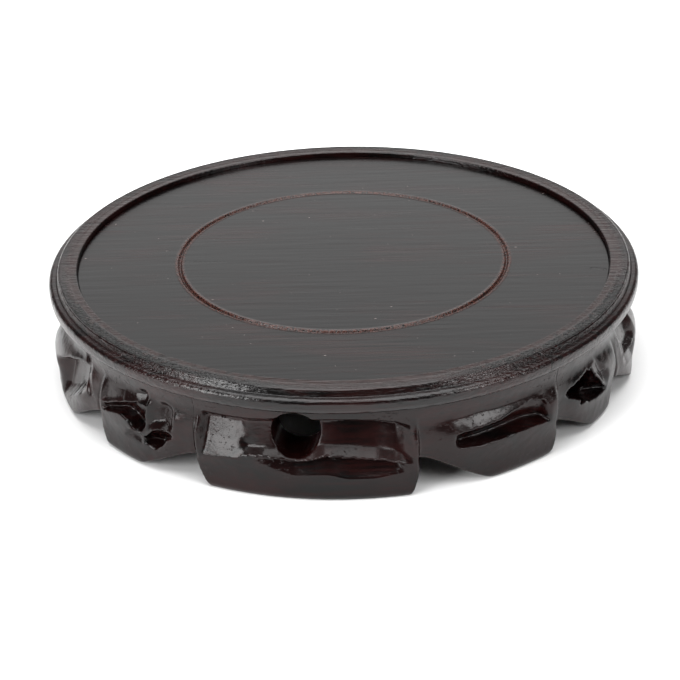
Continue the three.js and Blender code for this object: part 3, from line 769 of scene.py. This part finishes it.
def ring_finish(look, streak, cloud, pore):
    """Glossy lacquer over uneven carving, with red patches and rough specks."""
    grit = look.noise((1300, 1300, 1300), 2.0, 0.6)
    speck = look.noise((820, 820, 820), 2.0, 0.65, move=(4, 0, 0)).between(0.61, 0.7)
    patch = look.noise((70, 70, 90), 2.0, 0.5, move=(9, 2, 0)).between(0.5, 0.64)
    wave = look.noise((120, 120, 160), 2.0, 0.5)
    look.recolour(patch, RING_RED)
    look.set(Roughness=cloud * 0.2 + 0.13)
    look.bump(wave * 0.6 + grit * 0.12 + streak * 0.12 + speck * patch * 0.5, 0.0005, 0.6)


def plain_wood():
    """Oiled hardwood of the pieces inside the joints and the battens."""
    look = Look("inner_hardwood", 0.5)
    streak = look.noise((18, 700, 700), 3.0, 0.6)
    cloud = look.noise((30, 30, 30), 2.0, 0.5)
    blend = (streak * 0.7 + cloud * 0.5).between(0.35, 0.85)
    look.set(Base_Color=look.mix(blend, OILED_DARK, OILED_PALE), Roughness=streak * 0.2 + 0.4)
    look.bump(streak, 0.0002, 0.3)
    return look.material


# Settings

class StandSizes(bpy.types.PropertyGroup):
    """Sizes that shape the dressed pieces"""
    carving_grain: bpy.props.FloatProperty(
        name="Carving grain", description="Side of the even faces of the carved ring",
        default=0.435 * MM, min=0.2 * MM, max=2 * MM, unit="LENGTH", subtype="DISTANCE")
    turning_step: bpy.props.FloatProperty(
        name="Turning step", description="Angle between the steps of turned pieces",
        default=math.radians(0.75), min=math.radians(0.2), max=math.radians(10), subtype="ANGLE")


class StandColours(bpy.types.PropertyGroup):
    """Colours of the lacquered wood"""
    stain: bpy.props.FloatVectorProperty(
        name="Stain", description="Darkest colour of the stained wood", subtype="COLOR",
        default=(0.001, 0.0006, 0.0006), min=0, max=1)
    worn: bpy.props.FloatVectorProperty(
        name="Thin stain", description="Red-brown where the stain is thin", subtype="COLOR",
        default=(0.0115, 0.0022, 0.002), min=0, max=1)
    floor: bpy.props.FloatVectorProperty(
        name="Floor", description="Colour of the floor and backdrop", subtype="COLOR",
        default=(0.84, 0.84, 0.84), min=0, max=1)


def colours():
    """The two colours of the stain."""
    chosen = bpy.context.scene.stand_colours
    return tuple(chosen.stain), tuple(chosen.worn)


# Operators

class STAND_OT_rim(bpy.types.Operator):
    """Add the four moulded segments of the rim"""
    bl_idname = "stand.add_rim"
    bl_label = "Add rim"

    def execute(self, context):
        step = math.degrees(context.scene.stand_sizes.turning_step)
        edge = math.degrees(RIM_GAP / 2 / RIM_RADIUS)
        for index in range(len(RIM_JOINTS)):
            start, end = joint_pair(RIM_JOINTS, index)
            shape = section(bmesh.new(), RIM_SECTION)
            turn(shape, start + edge, end - edge, step)
            body = to_mesh(shape, "rim_body")
            cutters = [block(SPLINES["size"], at(azimuth, SPLINES["radius"], SPLINES["height"]))
                       for azimuth in (start, end)]
            mesh = evaluated(body, f"rim_moulded_{index + 1}", cutters + peg_cutters(start, end))
            grain = -math.radians((start + end) / 2)
            look = lacquered(f"rim_lacquer_{index + 1}", grain, (0.5, 0.8), 1.4, rim_finish)
            made = piece(mesh.name, mesh, "root", [f"rim_segment_{index + 1}"], look)
            sharpen(made, RIM_SHARP)
        return {"FINISHED"}


class STAND_OT_panel(bpy.types.Operator):
    """Add the three boards of the panel with their turned groove"""
    bl_idname = "stand.add_panel"
    bl_label = "Add panel"

    def execute(self, context):
        step = math.degrees(context.scene.stand_sizes.turning_step)
        look = lacquered("panel_lacquer", 0.0, (0.6, 0.95), 1.42, panel_finish)
        whole = section(bmesh.new(), PANEL_SECTION)
        bmesh.ops.delete(whole, geom=whole.faces[:], context="FACES_ONLY")
        axis = [e for e in whole.edges if max(abs(v.co.x) for v in e.verts) < 1e-6]
        bmesh.ops.delete(whole, geom=axis, context="EDGES")
        bmesh.ops.spin(whole, geom=everything(whole), cent=(0, 0, 0), axis=(0, 0, 1),
                       angle=math.tau, steps=round(360 / step), use_merge=True)
        bmesh.ops.remove_doubles(whole, verts=whole.verts, dist=MERGE_BELOW)
        for name, edges in BOARDS:
            shape = whole.copy()
            for edge, way in edges:
                cut = bmesh.ops.bisect_plane(shape, geom=everything(shape), clear_outer=True,
                                             plane_co=(0, edge * MM, 0), plane_no=(0, way, 0))
                bmesh.ops.contextual_create(shape, geom=only(bmesh.types.BMEdge, cut["geom_cut"]))
            body = to_mesh(shape, "board_body")
            mesh = evaluated(body, f"panel_face_{name}", [batten_cutter(x) for x in BATTEN["at"]])
            made = piece(mesh.name, mesh, "root", [f"panel_board_{name}"], look)
            sharpen(made, PANEL_SHARP)
        whole.free()
        return {"FINISHED"}


def batten_cutter(x):
    """The dovetail housing of a batten in the underside of the boards."""
    half, rise, below = BATTEN["half"], BATTEN["let_in"], BATTEN["below"]
    wide = half + BATTEN["flare"]
    shape = bmesh.new()
    section(shape, ((-half, below, 0), (half, below, 0), (half, 0, 0),
                    (wide, rise, 0), (-wide, rise, 0), (-half, 0, 0)))
    lengthen(shape, BATTEN["length"])
    start = (x * MM, -BATTEN["length"] / 2 * MM, BATTEN["under"] * MM)
    bmesh.ops.translate(shape, verts=shape.verts, vec=start)
    return to_mesh(shape, "housing")


class STAND_OT_foot_ring(bpy.types.Operator):
    """Add the five carved segments of the foot ring"""
    bl_idname = "stand.add_foot_ring"
    bl_label = "Add foot ring"

    def execute(self, context):
        voxel = context.scene.stand_sizes.carving_grain / MM
        for index, start in enumerate(RING_JOINTS):
            mesh = ring_mesh(index, voxel)
            grain = -math.radians(start + RING_HALF_TURN)
            look = lacquered(f"ring_lacquer_{index + 1}", grain, (0.5, 0.8), 1.33, ring_finish)
            piece(mesh.name, mesh, "root", [f"foot_ring_segment_{index + 1}"], look)
        return {"FINISHED"}


class STAND_OT_joinery(bpy.types.Operator):
    """Finish the battens, splines, dowels and pegs"""
    bl_idname = "stand.finish_joinery"
    bl_label = "Finish joinery"

    def execute(self, context):
        look = plain_wood()
        for name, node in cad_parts.items():
            if name.startswith(("panel_batten", "rim_spline", "ring_dowel", "ring_peg")):
                node.data.materials.clear()
                node.data.materials.append(look)
        return {"FINISHED"}


def swung(first, second, angle):
    """Two directions at right angles, turned in their plane from the first to the second."""
    return (first * math.cos(angle) + second * math.sin(angle),
            second * math.cos(angle) - first * math.sin(angle))


class STAND_OT_stage(bpy.types.Operator):
    """Add the floor, the lights and the camera"""
    bl_idname = "stand.add_stage"
    bl_label = "Add stage"

    def execute(self, context):
        scene = context.scene
        shape = bmesh.new()
        bmesh.ops.create_grid(shape, x_segments=2, y_segments=2, size=FLOOR_HALF)
        floor = bpy.data.objects.new("floor", to_mesh(shape, "floor"))
        scene.collection.objects.link(floor)
        cover = Look("floor_paper", 0.9)
        _, y, _, radius, _ = cover.axes()
        glow = (radius - y * FLOOR_GLOW_LEAN).between(*FLOOR_GLOW_FROM)
        cover.set(Base_Color=(*scene.stand_colours.floor, 1), Specular_IOR_Level=0.0,
                  Emission_Color=cover.mix(glow, (0, 0, 0), (1, 1, 1)), Emission_Strength=FLOOR_GLOW)
        floor.data.materials.append(cover.material)
        self.backdrop(scene)
        for softbox in SOFTBOXES:
            self.softbox(scene, *softbox)
        self.camera(scene)
        scene.view_settings.view_transform = "Standard"
        return {"FINISHED"}

    def backdrop(self, scene):
        """Dim walls and ceiling, with a bright wall behind the stand."""
        world = bpy.data.worlds.new("studio")
        scene.world = world
        world.use_nodes = True
        nodes, links = world.node_tree.nodes, world.node_tree.links
        split = nodes.new("ShaderNodeSeparateXYZ")
        links.new(nodes.new("ShaderNodeTexCoord").outputs["Generated"], split.inputs[0])
        aside = nodes.new("ShaderNodeMath")
        aside.operation = "MULTIPLY"
        for socket in aside.inputs[:2]:
            links.new(split.outputs["X"], socket)
        middle = self.fade(world, aside.outputs[0], SIDE_FROM, WALL_BRIGHTNESS, BACK_BRIGHTNESS)
        back = self.fade(world, split.outputs["Y"], BACK_FROM, WALL_BRIGHTNESS, middle)
        light = self.fade(world, split.outputs["Z"], CEILING_FROM, back, CEILING_BRIGHTNESS)
        links.new(light, nodes["Background"].inputs["Strength"])
        nodes["Background"].inputs["Color"].default_value = (1, 1, 1, 1)

    def fade(self, world, value, across, first, second):
        """A brightness that passes from the first to the second as a value rises."""
        made = world.node_tree.nodes.new("ShaderNodeMapRange")
        made.interpolation_type = "SMOOTHSTEP"
        for socket, source in zip(made.inputs, (value, *across, first, second)):
            if isinstance(source, float):
                socket.default_value = source
            else:
                world.node_tree.links.new(source, socket)
        return made.outputs[0]

    def softbox(self, scene, name, place, width, depth, power):
        """A soft, flat light aimed at the stand."""
        lamp = bpy.data.lights.new(name, "AREA")
        lamp.shape, lamp.size, lamp.size_y, lamp.energy = "RECTANGLE", width, depth, power
        made = bpy.data.objects.new(name, lamp)
        made.location = place
        made.rotation_euler = (Vector(LIGHTS_AIM) - Vector(place)).to_track_quat("-Z", "Y").to_euler()
        scene.collection.objects.link(made)

    def camera(self, scene):
        """The photograph's view: 6.5 radii away, 25 degrees up, a little rolled."""
        elevation, half = math.radians(CAMERA_RISE), PHOTO_SIDE / 2
        back = Vector((0, -math.cos(elevation), math.sin(elevation)))
        right = Vector((1, 0, 0))
        up = back.cross(right)
        ahead = -back
        # Roll the view, then swing it so that the middle of the panel is seen where
        # the photograph shows it
        right, up = swung(right, -up, math.radians(CAMERA_ROLL))
        up = -up
        right, ahead = swung(right, ahead, math.atan2(PHOTO_CENTRE[0] - half, PHOTO_FOCAL))
        up, ahead = swung(up, ahead, math.atan2(half - PHOTO_CENTRE[1], PHOTO_FOCAL))
        data = bpy.data.cameras.new("camera")
        data.sensor_width = SENSOR_WIDTH
        data.lens = PHOTO_FOCAL * SENSOR_WIDTH / PHOTO_SIDE
        data.clip_start = 0.05
        made = bpy.data.objects.new("camera", data)
        matrix = Matrix((right, up, -ahead)).transposed().to_4x4()
        matrix.translation = back * (CAMERA_AWAY * MM) + Vector((0, 0, CAMERA_AIM * MM))
        made.matrix_world = matrix
        scene.collection.objects.link(made)
        scene.camera = made


class STAND_PT_sidebar(bpy.types.Panel):
    """Sizes, colours and operators of the stand"""
    bl_label = "Round display stand"
    bl_idname = "STAND_PT_sidebar"
    bl_space_type = "VIEW_3D"
    bl_region_type = "UI"
    bl_category = "Stand"

    def draw(self, context):
        for group in (context.scene.stand_sizes, context.scene.stand_colours):
            for key in group.__annotations__:
                self.layout.prop(group, key)
        for operator in OPERATORS:
            self.layout.operator(operator.bl_idname)


OPERATORS = (STAND_OT_rim, STAND_OT_panel, STAND_OT_foot_ring, STAND_OT_joinery, STAND_OT_stage)
CLASSES = (StandSizes, StandColours, *OPERATORS, STAND_PT_sidebar)


def register():
    """Adds the classes and the settings of the scene."""
    for item in CLASSES:
        bpy.utils.register_class(item)
    bpy.types.Scene.stand_sizes = bpy.props.PointerProperty(type=StandSizes)
    bpy.types.Scene.stand_colours = bpy.props.PointerProperty(type=StandColours)


def unregister():
    """Takes the settings and classes out again."""
    del bpy.types.Scene.stand_colours
    del bpy.types.Scene.stand_sizes
    for item in reversed(CLASSES):
        bpy.utils.unregister_class(item)


def main():
    """Builds the stand and its stage."""
    register()
    bpy.ops.stand.add_rim()
    bpy.ops.stand.add_panel()
    bpy.ops.stand.add_foot_ring()
    bpy.ops.stand.finish_joinery()
    bpy.ops.stand.add_stage()


if __name__ == "__main__":
    main()
